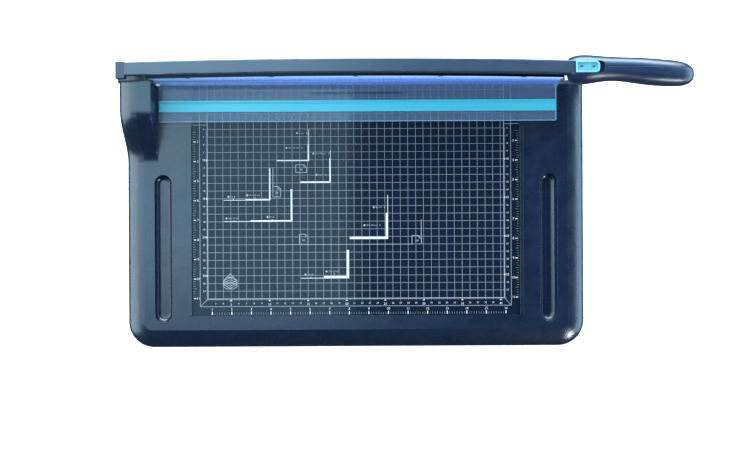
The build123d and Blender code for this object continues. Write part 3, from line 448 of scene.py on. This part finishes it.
# Layout of the mat's print, in millimetres from its left edge and from the cut line.
CM, INCH = 10.0, 25.4
OUTER_LEFT, OUTER_RIGHT, OUTER_FRONT = 10.0, 413.5, 290.0
GRID_LEFT, GRID_RIGHT, GRID_FRONT = 20.0, 404.5, 280.0
GRID_REAR = 4.0
SCALE_REAR = 54.4
THIN, FINE, FRAME, TICK = 0.5, 0.45, 0.8, 0.35     # widths of lines
SMALL, LARGE, INCH_SIZE = 3.0, 4.0, 4.2            # sizes of numerals
FRAME_INK, NUMBER_INK, MARK_INK = 0.06 * MM, 0.07 * MM, 0.08 * MM
EDGE_GAP = 0.8
GRID_COLUMNS = range(3, 41)
GRID_ROWS = range(1, 28)
NUMBERED_ROWS = range(6, 28)
FRONT_INCHES = range(1, 17)
SIDE_INCHES = range(3, 12)


def print_grid():
    """One-centimetre grid."""
    page = Print(MAT_LEFT, CUT_Y, MAT_TOP)
    for column in GRID_COLUMNS:
        page.bar(column * CM - FINE / 2, GRID_REAR, column * CM + FINE / 2, GRID_FRONT)
    for row in GRID_ROWS:
        page.bar(GRID_LEFT, row * CM - FINE / 2, GRID_RIGHT, row * CM + FINE / 2)
    return page


def print_frames():
    """Frame lines round the grid and round the centimetre band, mitred at the front."""
    page = Print(MAT_LEFT, CUT_Y, MAT_TOP, FRAME_INK)
    page.stroke([(GRID_LEFT, GRID_REAR), (GRID_LEFT, GRID_FRONT), (GRID_RIGHT, GRID_FRONT),
                 (GRID_RIGHT, GRID_REAR)], FRAME)
    page.stroke([(OUTER_LEFT, GRID_REAR), (OUTER_LEFT, OUTER_FRONT), (OUTER_RIGHT, OUTER_FRONT),
                 (OUTER_RIGHT, GRID_REAR)], THIN)
    page.line((GRID_LEFT, GRID_FRONT), (OUTER_LEFT, OUTER_FRONT), THIN)
    page.line((GRID_RIGHT, GRID_FRONT), (OUTER_RIGHT, OUTER_FRONT), THIN)
    for start, end in ((EDGE_GAP, GRID_LEFT), (GRID_RIGHT, MAT_WIDTH / MM - EDGE_GAP)):
        page.bar(start, SCALE_REAR - THIN / 2, end, SCALE_REAR + THIN / 2)
    return page


def tick_row(page, start, stop, step, length_of, along_x, base, direction):
    """Ticks from a base line; length_of gives each tick's length from its index."""
    count = int(round((stop - start) / step)) + 1
    for index in range(count):
        at = start + index * step
        low, high = sorted((base, base + direction * length_of(index)))
        if along_x:
            page.bar(at - TICK / 2, low, at + TICK / 2, high)
        else:
            page.bar(low, at - TICK / 2, high, at + TICK / 2)


def print_scales():
    """Millimetre ticks against the grid's frame, and inch ticks along the mat's edges."""
    page = Print(MAT_LEFT, CUT_Y, MAT_TOP)
    right, front = MAT_WIDTH / MM - 1, MAT_DEPTH / MM - 1

    def metric(index):
        return 2.6 if index % 10 == 0 else 2.0 if index % 5 == 0 else 1.4

    def inches(index):
        return 4.4 if index % 8 == 0 else 3.4 if index % 4 == 0 else 2.8

    tick_row(page, 20, 404, 1.0, metric, True, GRID_FRONT, 1)
    tick_row(page, 60, 280, 1.0, metric, False, GRID_LEFT, -1)
    tick_row(page, 60, 280, 1.0, metric, False, GRID_RIGHT, 1)
    tick_row(page, INCH, 16 * INCH, INCH / 8, inches, True, front, -1)
    tick_row(page, 2.5 * INCH, 11 * INCH, INCH / 8, inches, False, 1, 1)
    tick_row(page, 2.5 * INCH, 11 * INCH, INCH / 8, inches, False, right, -1)
    return page


def arrow(page, x, y, dx, dy, size=1.6):
    """Small solid triangle that points along (dx, dy)."""
    tip = (x + dx * size, y + dy * size)
    page.outline([tip, (x - dy * size, y + dx * size), (x + dy * size, y - dx * size)])


def print_numbers():
    """Numbers of both scales, with an arrow at every fifth centimetre and a bar at every inch."""
    page = Print(MAT_LEFT, CUT_Y, MAT_TOP, NUMBER_INK)
    for value in GRID_COLUMNS:
        fifth = value % 5 == 0
        away = 7.4 if fifth else 6.2
        page.text(str(value), value * CM, GRID_FRONT + away, LARGE if fifth else SMALL)
        if fifth:
            arrow(page, value * CM, GRID_FRONT + 3.0, 0, -1)
    for value in NUMBERED_ROWS:
        fifth = value % 5 == 0
        for side, x in ((-1, GRID_LEFT - 4.6), (1, GRID_RIGHT + 4.5)):
            page.text(str(value), x, value * CM, LARGE if fifth else SMALL)
            if fifth:
                arrow(page, x - side * 3.0, value * CM, -side, 0)
    half, long = 0.6, (3.0, 4.0)
    for value in FRONT_INCHES:
        x, y = value * INCH, OUTER_FRONT + 3.6
        page.text(str(value), x, y, INCH_SIZE)
        page.bar(x - half, y + long[0], x + half, y + sum(long))
    for value in SIDE_INCHES:
        y = value * INCH
        for side, x in ((-1, OUTER_LEFT - 2.4), (1, OUTER_RIGHT + 3.1)):
            page.text(str(value), x, y, INCH_SIZE)
            tip = x + side * 2.6
            page.bar(min(tip, tip + side * 3), y - half, max(tip, tip + side * 3), y + half)
    return page


# Corner marks for trimming sheets: corner; left end, width of the bar along X; rear end, width of
# the bar along Y; left end and rear end of the thin lead-ins (0 where there is none).
CORNERS = (
    ((152.0, 101.6), (110.0, 1.3), (80.4, 1.7), (0, 60.5)),
    ((180.0, 130.0), (140.7, 1.9), (98.4, 1.8), (0, 88.0)),
    ((101.6, 152.4), (69.5, 1.5), (110.7, 1.4), (41.0, 0)),
    ((130.0, 180.0), (75.6, 1.8), (138.3, 2.2), (41.0, 0)),
    ((203.2, 254.0), (171.0, 3.2), (217.4, 3.2), (141.0, 0)),
    ((254.0, 203.2), (204.4, 3.0), (169.5, 3.0), (0, 146.0)),
)
# Size labels: words, start of the sign before them, line, and the way their arrow points.
LABELS = (
    ("4 x 6", 136.6, 65.5, "side"),
    ("10 x 15 cm", 122.8, 84.5, "side"),
    ("5 x 7", 161.5, 119.7, "side"),
    ("13 x 18 cm", 157.5, 92.0, "side"),
    ("6 x 4", 47.2, 147.5, "down"),
    ("15 x 10 cm", 71.7, 145.7, "down"),
    ("18 x 13 cm", 44.4, 175.6, "down"),
    ("7 x 5", 97.8, 174.0, "down"),
    ("10 x 8", 146.5, 249.0, "down"),
    ("25 x 20 cm", 174.0, 245.0, "down"),
    ("8 x 10", 235.6, 162.1, "side"),
    ("20 x 25 cm", 223.5, 185.3, "side"),
)
# Sheet guides: left, rear, right, front.  Sheet icons: left, rear, width, height, label.
SHEET_GUIDES = (
    (104.7, 110.0, 105.3, 148.0),
    (110.0, 209.7, 297.0, 210.3),
    (296.7, 178.0, 297.3, 210.0),
)
SHEET_ICONS = (
    (134.6, 106.5, 14.0, 10.0, "A6"),
    (104.8, 134.5, 10.2, 13.5, "A6"),
    (139.0, 196.6, 11.0, 13.0, "A5"),
    (285.0, 199.0, 12.4, 10.8, "A4"),
)


def print_corners():
    """Bold right-angled marks and their thin lead-ins."""
    page = Print(MAT_LEFT, CUT_Y, MAT_TOP, MARK_INK)
    lead = 0.7
    for (x, y), (left, across), (rear, along), (lead_x, lead_y) in CORNERS:
        page.bar(left, y - across, x, y)
        page.bar(x - along, rear, x, y - across)
        if lead_x:
            page.bar(lead_x, y - lead, left, y)
        if lead_y:
            page.bar(x - lead, lead_y, x, rear)
    return page


def print_labels():
    """Generic size labels: a round sign, the size, and an arrow to the mark."""
    page = Print(MAT_LEFT, CUT_Y, MAT_TOP, NUMBER_INK)
    radius, gap, letter, tip = 1.3, 2.4, 1.55, 1.2
    for words, x, y, way in LABELS:
        turns = [k * math.pi / 4 for k in range(7, -1, -1)]
        page.outline([(x + radius * math.cos(a), y + radius * math.sin(a)) for a in turns])
        page.text(words, x + gap, y, SMALL, align="LEFT")
        length = letter * len(words)
        if way == "side":
            arrow(page, x + gap + length + 1.8, y, 1, 0, tip)
        else:
            arrow(page, x + gap + length / 2, y + 3.0, 0, 1, tip)
    return page


def page_icon(page, x, y, width, height, label):
    """Sheet with a folded corner."""
    fold = 3.4
    page.stroke([(x, y), (x + width - fold, y), (x + width, y + fold), (x + width, y + height),
                 (x, y + height)], 0.6, closed=True)
    page.stroke([(x + width - fold, y), (x + width - fold, y + fold), (x + width, y + fold)], 0.5)
    page.text(label, x + width / 2, y + height * 0.6, 3.6)


def print_sheets():
    """Sheet-size guide lines and icons, and the stacked-sheets sign at the front left."""
    page = Print(MAT_LEFT, CUT_Y, MAT_TOP, NUMBER_INK)
    for guide in SHEET_GUIDES:
        page.bar(*guide)
    for icon in SHEET_ICONS:
        page_icon(page, *icon)
    x, y, half, tall = 49.0, 256.0, 8.6, 5.6
    page.stroke([(x - half, y), (x, y - tall - 3), (x + half, y), (x + half, y + 8), (x + 5, y + 11),
                 (x - 5, y + 11), (x - half, y + 8)], 0.6, closed=True)
    for rise in (0.0, 2.8, 5.6):
        page.stroke([(x - half, y + rise), (x, y - tall + 2 + rise), (x + half, y + rise),
                     (x, y + tall - 1 + rise)], 0.6, closed=True)
    page.bar(x - 3.4, y - 4.6, x + 3.4, y - 3.8)
    return page


def print_guard_marks():
    """A row of neutral dashes and arrows along the guard, where the paper goes in."""
    page = Print(guard_low.x, CUT_Y, STRIP_BASE + 0.01 * MM, FRAME_INK)
    start, y, pitch = 199.0, 14.5, 13.0
    for index in range(9):
        x = start + index * pitch
        page.bar(x, y - 0.7, x + 7.0, y + 0.7)
        page.outline([(x + 8.0, y + 1.7), (x + 11.0, y), (x + 8.0, y - 1.7)])
    return page


pale_ink = ink("pale_ink", (0.56, 0.54, 0.54))
grid_ink = ink("grid_ink", (0.40, 0.41, 0.43))
frame_ink = ink("frame_ink", (0.52, 0.52, 0.53))
white_ink = ink("white_ink", (1.0, 0.90, 0.85))
dark_ink = ink("dark_ink", (0.01, 0.015, 0.035))
print_grid().finish("mat_grid", grid_ink, "root", "mat_print")
print_frames().finish("mat_frames", frame_ink, "root", "mat_print")
print_scales().finish("mat_scales", grid_ink, "root", "mat_print")
print_numbers().finish("mat_numbers", white_ink, "root", "mat_print")
print_corners().finish("mat_corner_marks", white_ink, "root", "mat_print")
print_labels().finish("mat_labels", pale_ink, "root", "mat_print")
print_sheets().finish("mat_sheet_marks", pale_ink, "root", "mat_print")
print_guard_marks().finish("guard_marks", dark_ink, "guard", "clear_plastic")


# ---------------------------------------------------------------- stage, light, camera
def floor():
    """Plain pale floor under the feet, hidden from reflections."""
    bpy.ops.mesh.primitive_plane_add(size=12.0, location=(0, 0, cad_box[0].z))
    plane = bpy.context.object
    plane.name = "studio_floor"
    material, _, bsdf = new_material("studio_white", (0.93, 0.94, 0.95), 0.9)
    bsdf.inputs["Emission Color"].default_value = (1, 1, 1, 1)
    bsdf.inputs["Emission Strength"].default_value = 0.8
    plane.data.materials.append(material)
    plane.visible_glossy = False


def softbox(name, centre, target, width, height, radiance):
    """Rectangular area light that looks at a target; radiance is its linear colour head-on."""
    light = bpy.data.lights.new(name, "AREA")
    light.shape = "RECTANGLE"
    light.size, light.size_y = width, height
    light.energy = math.pi * width * height
    light.color = radiance
    holder = bpy.data.objects.new(name, light)
    holder.location = centre
    holder.rotation_euler = (Vector(target) - Vector(centre)).to_track_quat("-Z", "Y").to_euler()
    holder.visible_camera = False
    bpy.context.scene.collection.objects.link(holder)


def lights():
    """A wide overhead panel over the left half, low panels left, right and behind, one high
    behind on the right, and a small lamp at the front right."""
    world = bpy.data.worlds.new("studio")
    world.use_nodes = True
    background = world.node_tree.nodes["Background"]
    background.inputs["Color"].default_value = (0.45, 0.75, 1.0, 1)
    background.inputs["Strength"].default_value = 0.1
    bpy.context.scene.world = world
    rise, reach, front, rear = 1.6, 2.2, -0.37, 1.5
    over = (MIDDLE_X + 17 * MM - reach / 2, (front + rear) / 2)
    softbox("overhead_left", (*over, MAT_TOP + rise), (*over, 0), reach, rear - front, (1.3, 2.15, 2.6))
    middle = (0, -0.05, 0.05)
    softbox("left_panel", (-2.6, 0, 0.7), middle, 3.0, 2.0, (2.6, 3.6, 3.8))
    softbox("right_panel", (2.4, 0, 0.4), middle, 3.0, 1.6, (1.9, 3.1, 3.9))
    softbox("rear_panel", (0, 2.4, 0.7), middle, 4.4, 1.6, (8.0, 10.5, 11.0))
    softbox("rear_right_overhead", (1.3, 1.7, 1.9), middle, 2.0, 1.2, (0.5, 1.1, 2.6))
    softbox("front_right_lamp", (1.5, -1.5, 0.9), middle, 0.5, 0.5, (22.0, 24.0, 24.0))


def camera():
    """Straight down from 1.1 m over the mat, a little left of the bed's middle."""
    height, aside, ahead, roll = 1.1, 20.6 * MM, 162.8 * MM, -0.3
    data = bpy.data.cameras.new("camera")
    data.sensor_width = 36.0
    data.lens = 40.704
    data.shift_x, data.shift_y = 0.04667, -0.03333
    holder = bpy.data.objects.new("camera", data)
    holder.location = (MIDDLE_X - aside, CUT_Y - ahead, MAT_TOP + height)
    holder.rotation_euler = (0, 0, math.radians(roll))
    bpy.context.scene.collection.objects.link(holder)
    bpy.context.scene.camera = holder


floor()
lights()
camera()
bpy.context.scene.view_settings.view_transform = "Standard"
